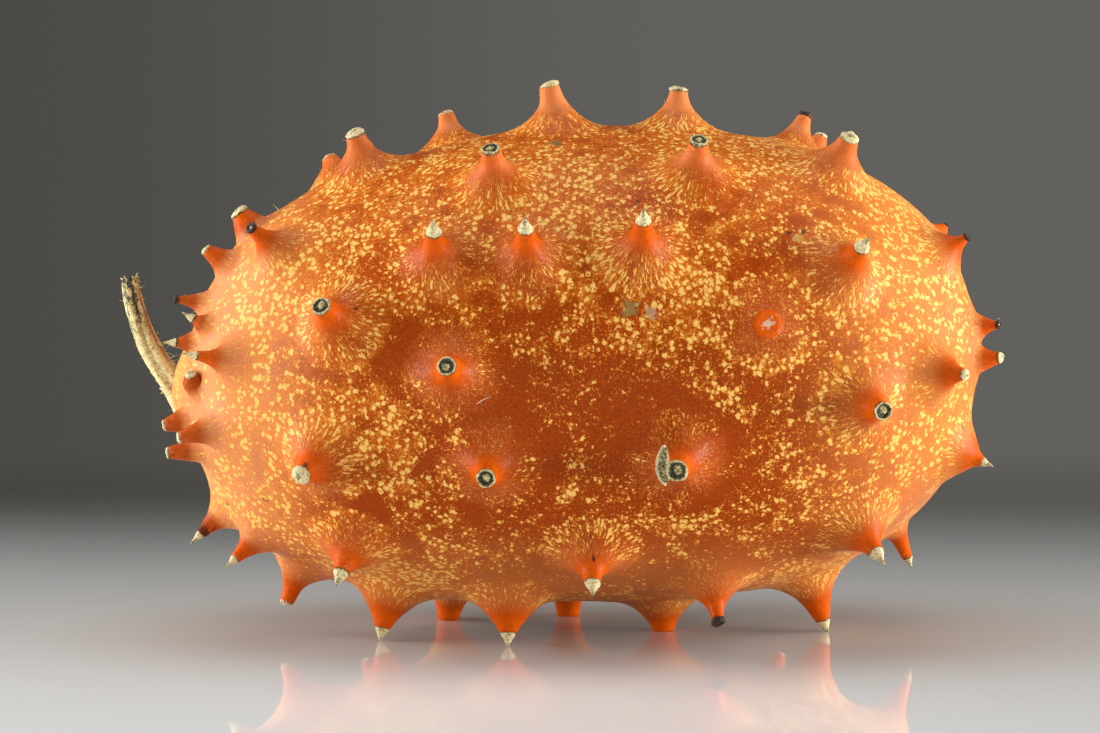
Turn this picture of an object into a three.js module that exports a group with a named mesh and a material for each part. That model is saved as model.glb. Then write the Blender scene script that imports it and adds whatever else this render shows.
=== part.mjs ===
// Horned melon (kiwano, Cucumis metuliferus), as picked: the fruit, whose rind and
// horns grew as one piece, and the dried stalk that it hung from.
//
// Millimetres, +Z up. The stalk end points along -X, the blossom end along +X and
// the front is -Y. The fruit stands on the tips of six of its horns, at Z = 0, and
// the origin is under the middle of the whole part.

import * as THREE from 'three';
import { ConvexHull } from 'three/addons/math/ConvexHull.js';

// ---- Driving dimensions ----

// The rind without its horns: half an ellipse turned about the long axis on either side
// of the widest place, a little squarer than a true ellipse. An exponent of 2 is an
// ellipse and more is squarer.
const STALK_END_REACH = 53.5;
const BLOSSOM_END_REACH = 56.2;
const BODY_DIAMETER = 67.4;
const STALK_END_SQUARENESS = 2.42;
const BLOSSOM_END_SQUARENESS = 2.6;
const STALK_END_DROOP = 3.3; // how far each end of the long axis bends
const BLOSSOM_END_RISE = 0.7;
const NOSE_LENGTH = 3.8; // the blunt nose that the stalk grows from
const NOSE_RADIUS = 8.3;
const SHOULDER_HOLLOW = 1.8; // flattened top between the widest place and the stalk end
const SHOULDER_AT = -26.7;
const SHOULDER_WIDTH = 17.6;
const WIDEST_PLACE = new THREE.Vector3(2.4, -0.4, 38.4); // its middle, above the table

// The rind swells under each horn: widely, and as a skirt round the horn's own foot.
const SWELLINGS = [
  { height: 1, radius: 7.5 },
  { height: 1.3, radius: 3.8 },
];

// A horn: a slim, slightly tapering shaft that flares at its foot.
const FLARE_HEIGHT = 0.6; // height in which the flare shrinks to a third
const FOOT_RADIUS = 6.5;
const SMALLEST_FOOT = 2.1; // where horns crowd together, and round the wart
const FOOT_TO_LENGTH = 1.6; // a short horn has a small foot

// The kinds of horn, by how each one's tip ended: the shaft's radius where it ends and
// at its root, and how far the dry tip stands on it.
const SPINED = { end: 1.12, root: 1.6, tip: 2.3 };
const CUT = { end: 1.3, root: 1.7, tip: 0.2 };
const CAPPED = { end: 1.32, root: 1.95, tip: 0.4 };
const DARK = { end: 0.85, root: 1.6, tip: 0.2 };
const BARE = { end: 1.15, root: 1.65, tip: 0.4 };
const STUB = { end: 2, root: 2.6, tip: 0.5 };
const STANDING_SPINED = { end: 1.1, root: 2.7, tip: 2.2 };
const STANDING_BLUNT = { end: 1.5, root: 2.5, tip: 0.2 };
// Horns near both ends of the fruit are slimmer, by degrees from the widest place.
const SLIMMER_FROM = 38;
const SLIMMEST_FROM = 55;
const SLIMMEST_END = 0.6;
const SLIMMEST_ROOT = 0.9;

// The mesh: points in each ring round a horn, from the tip to the rim of the foot,
// and the number of points that would cover a rind with no horns.
const RINGS = [
  { height: 1, points: 6 },
  { height: 0.62, points: 6 },
  { height: 0.3, points: 7 },
  { height: 0.1, points: 8 },
  { height: 0, points: 9 },
];
const RIND_POINTS = 1300;
const RIND_CLEARANCE = 1.2; // between the foot of a horn and the next point

// The stalk's middle line, from inside the fruit to the broken end, as offsets
// from the middle of the widest place, and its radius along it.
const STALK_LINE = [
  [-55.2, -0.7, -6.6],
  [-56.4, -0.6, -4.4],
  [-57.4, -0.5, -2.6],
  [-58.9, -0.3, -0.7],
  [-60.4, 0.1, 1.5],
  [-61.6, 0.5, 3.9],
  [-62.6, 0.9, 6.8],
  [-63.4, 1.3, 9.9],
  [-63.7, 1.6, 12.9],
];
const STALK_ROOT_RADIUS = 2.1;
const STALK_END_RADIUS = 1.05;
const STALK_SIDES = 10;
const STALK_STEPS = 14;
const STALK_GAP = 0.3;

// Every horn: degrees from the widest place towards the blossom end, degrees round the
// long axis (0 front, 90 top, 180 back, 270 underside), length from the rind without its
// swelling, lean towards the blossom end, and lean round the axis, both as slopes.
const SPINED_HORNS = [
  [-19.6, 31.3, 8.5, 0.1, 0.25], [-7, 29.8, 8.5, 0, 0.35], [8.8, 31, 8.7, 0, 0.4],
  [36.7, 30.1, 8.4, 0, 0.1], [-68, 30, 6.8, -0.4, -0.05], [-56, 13, 8.2, -0.6, 0.15],
  [-62.5, 33, 6.4, -0.2, 0.4], [62, 317, 7.2, 0, 0], [39.8, 311.5, 7.9, 0, 0.1],
  [48, 249, 10.4, -0.25, 0], [2.2, 315.5, 8, 0, 0], [-33, 313, 7.9, 0, 0],
  [-50.8, 296, 8.2, -0.1, 0.1], [-60, 287, 8.4, 0.1, 0],
  [16, 132, 7.8, 0.1, 0.1], [-38, 148, 8, -0.1, 0], [27, 165, 8.2, 0, -0.2],
  [-22, 196, 8.1, 0.1, -0.1], [43, 213, 7.8, 0, -0.1], [8, 228, 8.2, 0.1, 0.1],
  [-56, 212, 7.4, -0.1, 0],
];
const CUT_HORNS = [
  [-11.6, 53.3, 6.4, 0, 0], [16.3, 54.9, 6.4, 0, 0], [-34.5, 18.4, 6.4, 0, 0.15],
  [-17.6, 3.2, 6.2, 0, 0.25], [-12.5, 341.3, 6.2, 0, 0.15], [13.8, 342.4, 6.4, -0.2, 0.2],
  [39.3, 353.3, 6.4, 0, 0], [-9, 151, 6.4, 0, 0.1], [-27, 166, 6.2, 0.1, 0.1],
  [36, 188, 6.4, 0, 0.1], [22, 211, 6.2, 0, -0.1],
];
const CAPPED_HORNS = [
  [-57, 59, 5.8, -0.1, 0.2], [-31.3, 80, 6.2, 0, -0.1],
  [-2.9, 86, 6.8, -0.15, 0], [14.5, 90, 6.1, 0, 0], [36.5, 68.8, 6.2, 0, -0.1],
  [-37.5, 340.9, 6.4, -0.1, 0], [53.9, 0.1, 6, 0, 0], [69, 4.5, 5.2, -0.1, 0.1],
  [-66.5, 328, 6.6, -0.4, 0], [-61.3, 344, 6.6, -0.45, -0.2], [-71.5, 342, 5.6, -0.3, -0.2],
  [-67.5, 4.5, 4.6, 1.1, 1.6], [12, 158, 6.2, 0, 0], [-43, 182, 6.4, 0, 0],
  [-2, 206, 6.4, 0, -0.1], [56, 140, 6, 0.1, 0], [-54, 160, 6.2, 0.1, 0],
  [54, 194, 6.2, 0, 0.1], [-31, 234, 6.6, 0, 0],
];
const DARK_HORNS = [
  [-45.7, 48.5, 6.2, -0.1, 0], [31.6, 103.2, 5.8, 0.1, 0], [69, 25, 4.9, -0.2, -0.1],
  [56.7, 52, 5.2, 0, 0], [58, 120, 4, 0, 0], [19, 299.6, 6.6, 0, 0.1],
  [-64, 49, 6, -0.4, 0], [34, 140, 5.8, 0, 0.1], [-5, 179, 6, 0.1, 0], [-38, 211, 6.2, 0, 0],
];
const BARE_HORNS = [
  [-18.5, 106, 6.2, 0, 0], [-36.6, 107.1, 5.2, 0, 0.3], [34.4, 118.6, 7, 0, 0], [29, 240, 6.3, 0, 0],
  [-43, 275, 6.9, 0.1, 0], [-24, 132, 6.2, 0, 0], [44, 160, 6.4, 0, 0], [15, 187, 6.2, 0, 0],
  [-14, 226, 6.4, 0, 0], [-64, 186, 6, 0, 0],
];
const STUBS = [[-51.5, 71, 5, 0.1, 0.25]];
// The horns that the fruit stands on reach just past the table, and are cut off flat
// by it: two spined ones at the front, one spined at the right, three blunt.
const STANDING_SPINED_HORNS = [
  [-27.9, 284, 8.2, 0, 0], [-9.9, 290.5, 7.8, 0, 0], [33.6, 270.5, 9.5, 0, 0],
];
const STANDING_BLUNT_HORNS = [
  [12.6, 269.4, 5.4, 0, 0], [-1, 248, 8.2, 0, 0], [-19, 253, 7.6, 0, 0],
];
// A horn that never grew is a low wart.
const WART = [25.5, 13.9, 1, 0, 0];

// ---- Materials ----

const rind = new THREE.MeshStandardMaterial({ color: 0xd9742a, roughness: 0.45, metalness: 0 });
const driedStalk = new THREE.MeshStandardMaterial({ color: 0xbfa878, roughness: 0.85, metalness: 0 });

// ---- The rind ----

const BODY_RADIUS = BODY_DIAMETER / 2;

// The unit direction, in a body squeezed to a ball, of a place on the rind.
function directionOf(towardsBlossom, around) {
  const lon = THREE.MathUtils.degToRad(towardsBlossom);
  const turn = THREE.MathUtils.degToRad(around);
  return new THREE.Vector3(
    Math.sin(lon),
    -Math.cos(lon) * Math.cos(turn),
    Math.cos(lon) * Math.sin(turn),
  );
}

function reachTowards(x) {
  return x < 0 ? STALK_END_REACH : BLOSSOM_END_REACH;
}

// How far the long axis is bent up or down at x.
function axisHeight(x) {
  return (x < 0 ? -STALK_END_DROOP : BLOSSOM_END_RISE) * (x / reachTowards(x)) ** 2;
}

// How far the nose stands out at a distance from the long axis.
function noseAt(x, across) {
  return x < 0 ? NOSE_LENGTH * Math.exp(-((across / NOSE_RADIUS) ** 2)) : 0;
}

function rindPoint(direction) {
  const squareness = direction.x < 0 ? STALK_END_SQUARENESS : BLOSSOM_END_SQUARENESS;
  const across = Math.hypot(direction.y, direction.z);
  const size = (Math.abs(direction.x) ** squareness + across ** squareness) ** (1 / squareness);
  const point = new THREE.Vector3(reachTowards(direction.x), BODY_RADIUS, BODY_RADIUS)
    .multiply(direction)
    .divideScalar(size);
  point.x -= noseAt(point.x, Math.hypot(point.y, point.z));
  const hollow = SHOULDER_HOLLOW * Math.exp(-(((point.x - SHOULDER_AT) / SHOULDER_WIDTH) ** 2));
  point.z += axisHeight(point.x) - hollow * Math.max(0, direction.z) ** 2;
  return point;
}

// The direction whose rind point lies under a point close to the rind.
function directionUnder(point) {
  const height = point.z - axisHeight(point.x);
  const x = point.x + noseAt(point.x, Math.hypot(point.y, height));
  return new THREE.Vector3(
    x / reachTowards(x),
    point.y / BODY_RADIUS,
    height / BODY_RADIUS,
  ).normalize();
}

function rindNormal(direction) {
  const step = 0.01;
  const side = new THREE.Vector3(0.3, 0.5, 0.8).cross(direction).normalize();
  const other = new THREE.Vector3().crossVectors(direction, side);
  const across = (way) =>
    rindPoint(direction.clone().addScaledVector(way, step).normalize())
      .sub(rindPoint(direction.clone().addScaledVector(way, -step).normalize()));
  return new THREE.Vector3().crossVectors(across(side), across(other)).normalize();
}

// ---- Horns ----

function makeHorn(kind, [towardsBlossom, around, length, leanAlong, leanAround]) {
  const direction = directionOf(towardsBlossom, around);
  const foot = rindPoint(direction);
  const normal = rindNormal(direction);
  const along = new THREE.Vector3(1, 0, 0).projectOnPlane(normal).normalize();
  const round = new THREE.Vector3().crossVectors(normal, along);
  const axis = normal.clone()
    .addScaledVector(along, leanAlong)
    .addScaledVector(round, leanAround)
    .normalize();
  const shaftAlong = along.clone().projectOnPlane(axis).normalize();
  const shaftRound = new THREE.Vector3().crossVectors(axis, shaftAlong);
  const slim = THREE.MathUtils.smoothstep(Math.abs(towardsBlossom), SLIMMER_FROM, SLIMMEST_FROM);
  const endRadius = kind.end * THREE.MathUtils.lerp(1, SLIMMEST_END, slim);
  const rootRadius = kind.root * THREE.MathUtils.lerp(1, SLIMMEST_ROOT, slim);
  return {
    foot, normal, along, round, axis, shaftAlong, shaftRound, length, endRadius, rootRadius,
    tipLength: kind.tip,
  };
}

const horns = [
  [SPINED, SPINED_HORNS],
  [CUT, CUT_HORNS],
  [CAPPED, CAPPED_HORNS],
  [DARK, DARK_HORNS],
  [BARE, [...BARE_HORNS, WART]],
  [STUB, STUBS],
  [STANDING_SPINED, STANDING_SPINED_HORNS],
  [STANDING_BLUNT, STANDING_BLUNT_HORNS],
].flatMap(([kind, rows]) => rows.map((row) => makeHorn(kind, row)));

for (const horn of horns) {
  const nearest = Math.min(
    ...horns.filter((other) => other !== horn).map((other) => other.foot.distanceTo(horn.foot)),
  );
  const room = Math.min(nearest / 2 - 0.2, FOOT_TO_LENGTH * horn.length);
  horn.footRadius = THREE.MathUtils.clamp(room, SMALLEST_FOOT, FOOT_RADIUS);
}

// How far the rind is swollen at a point by the horns near it.
function swellingAt(point) {
  let total = 0;
  for (const { height, radius } of SWELLINGS) {
    let flat = 1;
    for (const horn of horns) {
      const strength = Math.min(1, horn.length / FOOT_RADIUS);
      const distance = point.distanceTo(horn.foot) / radius;
      flat *= 1 - strength * Math.exp(-(distance ** 2));
    }
    total += height * (1 - flat);
  }
  return total;
}

function swollenRindPoint(direction) {
  const point = rindPoint(direction);
  return point.addScaledVector(rindNormal(direction), swellingAt(point));
}

// The flared, tapering outline of a horn: its radius at a height above its foot.
function hornRadius(horn, height) {
  const taper = THREE.MathUtils.lerp(horn.rootRadius, horn.endRadius, height / horn.shaft);
  const flare = Math.max(0, horn.footRadius - horn.rootRadius);
  return taper + flare * Math.exp(-height / FLARE_HEIGHT);
}

// A point in the rind beside a horn's foot, on the rind's own curve.
function besideFoot(horn, distance, angle) {
  const beside = horn.foot.clone()
    .addScaledVector(horn.along, distance * Math.cos(angle))
    .addScaledVector(horn.round, distance * Math.sin(angle));
  return directionUnder(beside);
}

// Every point of the fruit's skin: where it sits on the horns and the rind, and its
// direction, which says which points are neighbours.
const skin = [];

for (const horn of horns) {
  const swelling = swellingAt(horn.foot);
  const root = horn.foot.clone().addScaledVector(horn.normal, swelling);
  horn.shaft = Math.max(horn.length - swelling - horn.tipLength, 0.3);
  RINGS.forEach((ring, k) => {
    const height = ring.height * horn.shaft;
    const radius = hornRadius(horn, height);
    const spread = (horn.footRadius * (k + 1)) / RINGS.length;
    const upright = THREE.MathUtils.smoothstep(ring.height, 0.05, 0.5);
    for (let i = 0; i < ring.points; i += 1) {
      const angle = ((i + k / 2) / ring.points) * 2 * Math.PI;
      const onRind = swollenRindPoint(besideFoot(horn, radius, angle)).addScaledVector(horn.axis, height);
      const onShaft = root.clone()
        .addScaledVector(horn.shaftAlong, radius * Math.cos(angle))
        .addScaledVector(horn.shaftRound, radius * Math.sin(angle))
        .addScaledVector(horn.axis, height);
      skin.push({ direction: besideFoot(horn, spread, angle), place: onRind.lerp(onShaft, upright) });
    }
  });
  const tip = root.clone().addScaledVector(horn.axis, horn.shaft + horn.tipLength);
  skin.push({ direction: directionUnder(horn.foot), place: tip });
}

// The rind between the horns: points spread evenly by the golden angle.
const GOLDEN_ANGLE = Math.PI * (3 - Math.sqrt(5));
for (let i = 0; i < RIND_POINTS; i += 1) {
  const x = 1 - (2 * i + 1) / RIND_POINTS;
  const across = Math.sqrt(1 - x * x);
  const turn = i * GOLDEN_ANGLE;
  const direction = new THREE.Vector3(x, across * Math.cos(turn), across * Math.sin(turn));
  const point = rindPoint(direction);
  if (horns.every((horn) => point.distanceTo(horn.foot) > horn.footRadius + RIND_CLEARANCE)) {
    skin.push({ direction, place: swollenRindPoint(direction) });
  }
}

// The hull of the directions joins each point of the skin to its neighbours.
function skinGeometry() {
  const hullPoints = skin.map(({ direction }, index) => Object.assign(direction, { index }));
  const hull = new ConvexHull().setFromPoints(hullPoints);
  const corners = [];
  for (const face of hull.faces) {
    let edge = face.edge;
    do {
      corners.push(edge.head().point.index);
      edge = edge.next;
    } while (edge !== face.edge);
  }
  const places = skin.flatMap(({ place }) => {
    const standing = place.clone().add(WIDEST_PLACE);
    return [standing.x, standing.y, Math.max(0, standing.z)];
  });
  const geometry = new THREE.BufferGeometry();
  geometry.setAttribute('position', new THREE.Float32BufferAttribute(places, 3));
  geometry.setIndex(corners);
  geometry.computeVertexNormals();
  return geometry;
}

// ---- The stalk ----

// How far along -X the swollen rind reaches at a height and depth near the stalk.
function rindReach(y, z) {
  const reach = directionUnder(new THREE.Vector3(-STALK_END_REACH - NOSE_LENGTH, y, z));
  return swollenRindPoint(reach).x;
}

// A tapering stalk bent along its middle line, its foot shaped to the rind.
function stalkGeometry() {
  const line = new THREE.CatmullRomCurve3(STALK_LINE.map((point) => new THREE.Vector3(...point)));
  const geometry = new THREE.CylinderGeometry(1, 1, 1, STALK_SIDES, STALK_STEPS);
  const places = geometry.getAttribute('position');
  const front = new THREE.Vector3(0, -1, 0);
  for (let i = 0; i < places.count; i += 1) {
    const share = places.getY(i) + 0.5;
    const radius = THREE.MathUtils.lerp(STALK_ROOT_RADIUS, STALK_END_RADIUS, share ** 0.8);
    const forward = line.getTangentAt(share);
    const outward = new THREE.Vector3().crossVectors(forward, front).normalize();
    const place = line.getPointAt(share)
      .addScaledVector(outward, radius * places.getX(i))
      .addScaledVector(front, radius * places.getZ(i));
    place.x = Math.min(place.x, rindReach(place.y, place.z) - STALK_GAP);
    place.add(WIDEST_PLACE);
    places.setXYZ(i, place.x, place.y, place.z);
  }
  geometry.computeVertexNormals();
  return geometry;
}

// ---- Assembly ----

const hornedMelon = new THREE.Group();

const fruit = new THREE.Mesh(skinGeometry(), rind);
fruit.name = 'fruit';
hornedMelon.add(fruit);

const stalk = new THREE.Mesh(stalkGeometry(), driedStalk);
stalk.name = 'stalk';
hornedMelon.add(stalk);

export default hornedMelon;
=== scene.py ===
"""Horned melon (kiwano), as picked: a ripe fruit with its horns, and its dried stalk.

Metres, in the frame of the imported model: +Z up, the stalk end towards -X, the blossom
end towards +X and the front towards -Y. The fruit stands on six horns at Z = 0.
"""

import math
import random
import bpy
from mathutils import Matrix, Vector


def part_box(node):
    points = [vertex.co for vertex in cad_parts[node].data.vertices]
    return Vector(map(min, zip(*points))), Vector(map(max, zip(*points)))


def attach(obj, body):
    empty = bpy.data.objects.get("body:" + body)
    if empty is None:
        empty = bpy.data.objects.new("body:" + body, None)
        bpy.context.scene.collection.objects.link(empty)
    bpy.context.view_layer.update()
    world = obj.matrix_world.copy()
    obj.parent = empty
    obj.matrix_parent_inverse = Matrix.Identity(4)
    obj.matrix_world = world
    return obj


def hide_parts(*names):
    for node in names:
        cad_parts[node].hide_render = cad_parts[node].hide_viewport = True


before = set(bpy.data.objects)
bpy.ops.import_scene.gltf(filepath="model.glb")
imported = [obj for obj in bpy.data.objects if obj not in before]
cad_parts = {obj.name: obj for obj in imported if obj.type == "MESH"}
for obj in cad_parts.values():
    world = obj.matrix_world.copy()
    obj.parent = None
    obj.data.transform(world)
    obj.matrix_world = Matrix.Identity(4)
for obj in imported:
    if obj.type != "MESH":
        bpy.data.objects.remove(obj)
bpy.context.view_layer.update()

from types import SimpleNamespace

import bmesh
import bpy
import numpy as np
from mathutils import Vector, noise


# ---- The fruit: rind and horns ---------------------------------------------------
# The ripe rind and its horns grew as one skin: an oval a little squarer than an
# ellipse, swollen under each horn and flaring up into it. It is about a millimetre of
# waxy, living tissue over watery flesh, so light soaks a short way into it.

STALK_END_REACH = 0.0535
BLOSSOM_END_REACH = 0.0562
BODY_RADIUS = 0.0337
STALK_END_SQUARENESS = 2.42
BLOSSOM_END_SQUARENESS = 2.6
STALK_END_DROOP = 0.0033
BLOSSOM_END_RISE = 0.0007
NOSE_LENGTH = 0.0038
NOSE_RADIUS = 0.0083
SHOULDER_HOLLOW = 0.0018
SHOULDER_AT = -0.0267
SHOULDER_WIDTH = 0.0176
BOX_CORNER_TO_WIDEST = (0.05802, 0.039, 0.0384)
SWELLINGS = ((0.001, 0.0075), (0.0013, 0.0038))      # heights and radii

TIP_DISH = 0.0006            # a hollow under what sits on the tip
FLARE_HEIGHT = 0.0006
FOOT_RADIUS = 0.0065
SMALLEST_FOOT = 0.0021
FOOT_TO_LENGTH = 1.6
FEET_APART = 0.0002
SHORTEST_SHAFT = 0.0003
UPRIGHT = (0.05, 0.5)        # the share of its height over which a horn straightens up
SLIMMER = (38, 55)           # degrees from the widest place over which horns grow slimmer
SLIMMEST_END = 0.6
SLIMMEST_ROOT = 0.9

# The kinds of horn, by how each one's tip ended: the shaft's radius where it ends and at
# its root, and how far the dry tip stands on it, in millimetres.
HORN_KINDS = {
    "spined": (1.12, 1.55, 2.3),
    "cut": (1.3, 1.65, 0.2),
    "capped": (1.32, 1.9, 0.4),
    "dark": (0.85, 1.55, 0.2),
    "bare": (1.15, 1.6, 0.4),
    "stub": (2, 2.6, 0.5),
    "standing_spined": (1.1, 2.7, 2.2),
    "standing_blunt": (1.5, 2.5, 0.2),
}

# Each horn: degrees from the widest place towards the blossom end, degrees round the long
# axis (0 front, 90 top, 180 back, 270 underside), millimetres of length, and its lean
# towards the blossom end and round the axis, as slopes. Horns are sorted by how their
# tips ended.
HORN_ROWS = {
    "spined": [
        (-19.6, 31.3, 8.5, 0.1, 0.25), (-7, 29.8, 8.5, 0, 0.35), (8.8, 31, 8.7, 0, 0.4),
        (36.7, 30.1, 8.4, 0, 0.1), (-68, 30, 6.8, -0.4, -0.05), (-56, 13, 8.2, -0.6, 0.15),
        (-62.5, 33, 6.4, -0.2, 0.4), (62, 317, 7.2, 0, 0), (39.8, 311.5, 7.9, 0, 0.1),
        (48, 249, 10.4, -0.25, 0), (2.2, 315.5, 8, 0, 0), (-33, 313, 7.9, 0, 0),
        (-50.8, 296, 8.2, -0.1, 0.1), (-60, 287, 8.4, 0.1, 0), (16, 132, 7.8, 0.1, 0.1),
        (-38, 148, 8, -0.1, 0), (27, 165, 8.2, 0, -0.2), (-22, 196, 8.1, 0.1, -0.1),
        (43, 213, 7.8, 0, -0.1), (8, 228, 8.2, 0.1, 0.1), (-56, 212, 7.4, -0.1, 0),
    ],
    "cut": [
        (-11.6, 53.3, 6.4, 0, 0), (16.3, 54.9, 6.4, 0, 0), (-34.5, 18.4, 6.4, 0, 0.15),
        (-17.6, 3.2, 6.2, 0, 0.25), (-12.5, 341.3, 6.2, 0, 0.15), (13.8, 342.4, 6.4, -0.2, 0.2),
        (39.3, 353.3, 6.4, 0, 0), (-9, 151, 6.4, 0, 0.1), (-27, 166, 6.2, 0.1, 0.1),
        (36, 188, 6.4, 0, 0.1), (22, 211, 6.2, 0, -0.1),
    ],
    "capped": [
        (-57, 59, 5.8, -0.1, 0.2), (-31.3, 80, 6.2, 0, -0.1),
        (-2.9, 86, 6.8, -0.15, 0), (14.5, 90, 6.1, 0, 0), (36.5, 68.8, 6.2, 0, -0.1),
        (-37.5, 340.9, 6.4, -0.1, 0), (53.9, 0.1, 6, 0, 0), (69, 4.5, 5.2, -0.1, 0.1),
        (-66.5, 328, 6.6, -0.4, 0), (-61.3, 344, 6.6, -0.45, -0.2), (-71.5, 342, 5.6, -0.3, -0.2),
        (-67.5, 4.5, 4.6, 1.1, 1.6), (12, 158, 6.2, 0, 0), (-43, 182, 6.4, 0, 0),
        (-2, 206, 6.4, 0, -0.1), (56, 140, 6, 0.1, 0), (-54, 160, 6.2, 0.1, 0),
        (54, 194, 6.2, 0, 0.1), (-31, 234, 6.6, 0, 0),
    ],
    "dark": [
        (-45.7, 48.5, 6.2, -0.1, 0), (31.6, 103.2, 5.8, 0.1, 0), (69, 25, 4.9, -0.2, -0.1),
        (56.7, 52, 5.2, 0, 0), (58, 120, 4, 0, 0), (19, 299.6, 6.6, 0, 0.1), (-64, 49, 6, -0.4, 0),
        (34, 140, 5.8, 0, 0.1), (-5, 179, 6, 0.1, 0), (-38, 211, 6.2, 0, 0),
    ],
    "bare": [
        (-18.5, 106, 6.2, 0, 0), (-36.6, 107.1, 5.2, 0, 0.3), (34.4, 118.6, 7, 0, 0),
        (29, 240, 6.3, 0, 0), (-43, 275, 6.9, 0.1, 0), (-24, 132, 6.2, 0, 0), (44, 160, 6.4, 0, 0),
        (15, 187, 6.2, 0, 0), (-14, 226, 6.4, 0, 0), (-64, 186, 6, 0, 0), (25.5, 13.9, 1, 0, 0),
    ],
    "stub": [
        (-51.5, 71, 5, 0.1, 0.25),
    ],
    "standing_spined": [
        (-27.9, 284, 8.2, 0, 0), (-9.9, 290.5, 7.8, 0, 0), (33.6, 270.5, 9.5, 0, 0),
    ],
    "standing_blunt": [
        (12.6, 269.4, 5.4, 0, 0), (-1, 248, 8.2, 0, 0), (-19, 253, 7.6, 0, 0),
    ],
}


def unit(vectors):
    return vectors / np.linalg.norm(vectors, axis=-1, keepdims=True)


def direction_of(towards_blossom, around):
    lon = math.radians(towards_blossom)
    turn = math.radians(around)
    across = math.cos(lon)
    return np.array([math.sin(lon), -across * math.cos(turn), across * math.sin(turn)])


def reach_towards(x):
    return np.where(x < 0, STALK_END_REACH, BLOSSOM_END_REACH)


def axis_height(x):
    """How far the long axis is bent up or down at x."""
    return np.where(x < 0, -STALK_END_DROOP, BLOSSOM_END_RISE) * (x / reach_towards(x)) ** 2


def nose_at(x, across):
    return np.where(x < 0, NOSE_LENGTH * np.exp(-((across / NOSE_RADIUS) ** 2)), 0)


def bent(x, y, z):
    """A point of the straight body, moved out by the nose and up or down by the axis."""
    x = x - nose_at(x, np.hypot(y, z))
    return np.stack([x, y, z + axis_height(x)], -1)


def rind_point(direction):
    """The point of the plain oval that lies in each direction, from its widest place."""
    x, y, z = np.moveaxis(direction, -1, 0)
    squareness = np.where(x < 0, STALK_END_SQUARENESS, BLOSSOM_END_SQUARENESS)
    size = (abs(x) ** squareness + np.hypot(y, z) ** squareness) ** (1 / squareness)
    point = bent(x / size * reach_towards(x), y / size * BODY_RADIUS, z / size * BODY_RADIUS)
    hollow = SHOULDER_HOLLOW * np.exp(-(((point[..., 0] - SHOULDER_AT) / SHOULDER_WIDTH) ** 2))
    point[..., 2] -= hollow * np.maximum(0, z) ** 2
    return point


def direction_under(point):
    x, y, z = np.moveaxis(point, -1, 0)
    height = z - axis_height(x)
    x = x + nose_at(x, np.hypot(y, height))
    return unit(np.stack([x / reach_towards(x), y / BODY_RADIUS, height / BODY_RADIUS], -1))


def rind_normal(direction):
    side = unit(np.cross((0.3, 0.5, 0.8), direction))
    nearby = 0.01
    across = [
        rind_point(unit(direction + nearby * way)) - rind_point(unit(direction - nearby * way))
        for way in (side, np.cross(direction, side))
    ]
    return unit(np.cross(*across))


def smoothstep(low, high, value):
    share = np.clip((value - low) / (high - low), 0, 1)
    return share * share * (3 - 2 * share)


def make_horn(kind, towards_blossom, around, length, lean_along, lean_round):
    direction = direction_of(towards_blossom, around)
    normal = rind_normal(direction)
    along = unit(np.array([1, 0, 0]) - normal[0] * normal)
    round_axis = np.cross(normal, along)
    axis = unit(normal + lean_along * along + lean_round * round_axis)
    shaft_along = unit(along - (along @ axis) * axis)
    slim = smoothstep(*SLIMMER, abs(towards_blossom))
    end, root, tip = HORN_KINDS[kind]
    return SimpleNamespace(
        kind=kind,
        foot=rind_point(direction),
        normal=normal,
        along=along,
        round_axis=round_axis,
        axis=axis,
        shaft_along=shaft_along,
        shaft_round=np.cross(axis, shaft_along),
        length=length / 1000,
        end_radius=end / 1000 * (1 + (SLIMMEST_END - 1) * slim),
        root_radius=root / 1000 * (1 + (SLIMMEST_ROOT - 1) * slim),
        tip_length=tip / 1000,
        slim=slim,
    )


horns = [make_horn(kind, *row) for kind, rows in HORN_ROWS.items() for row in rows]


def swelling_at(points):
    """How far the rind is swollen at each point by the horns near it."""
    total = 0
    for height, radius in SWELLINGS:
        flat = 1
        for horn in horns:
            strength = min(1, horn.length / FOOT_RADIUS)
            distance = np.linalg.norm(points - horn.foot, axis=-1) / radius
            flat = flat * (1 - strength * np.exp(-(distance ** 2)))
        total = total + height * (1 - flat)
    return total


def swollen_rind_point(direction):
    point = rind_point(direction)
    return point + rind_normal(direction) * swelling_at(point)[..., None]


for horn in horns:
    gaps = sorted(np.linalg.norm(other.foot - horn.foot) for other in horns)
    horn.gap = gaps[1]
    room = min(horn.gap / 2 - FEET_APART, FOOT_TO_LENGTH * horn.length)
    horn.foot_radius = min(max(room, SMALLEST_FOOT), FOOT_RADIUS)
    swelling = swelling_at(horn.foot)
    horn.root = horn.foot + horn.normal * swelling
    horn.shaft = max(horn.length - swelling - horn.tip_length, SHORTEST_SHAFT)


OUTLINE_STEPS = (12, 120)    # in the dish at the tip, and down the shaft


def horn_outline(horn):
    """Radius and height along a horn's outline, evenly from its tip to its foot's rim."""
    turn = np.linspace(0, math.pi / 2, OUTLINE_STEPS[0], endpoint=False)
    height = np.linspace(horn.shaft, 0, OUTLINE_STEPS[1])
    taper = horn.root_radius + (horn.end_radius - horn.root_radius) * height / horn.shaft
    flare = max(0, horn.foot_radius - horn.root_radius) * np.exp(-height / FLARE_HEIGHT)
    end = taper[0] + flare[0]
    radii = np.append(end * np.sin(turn), taper + flare)
    dish = min(TIP_DISH, horn.shaft / 2)
    heights = np.append(horn.shaft - dish * np.cos(turn), height)
    steps = np.hypot(np.diff(radii), np.diff(heights))
    share = np.append(0, np.cumsum(steps)) / steps.sum()
    return share, radii, heights


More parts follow.
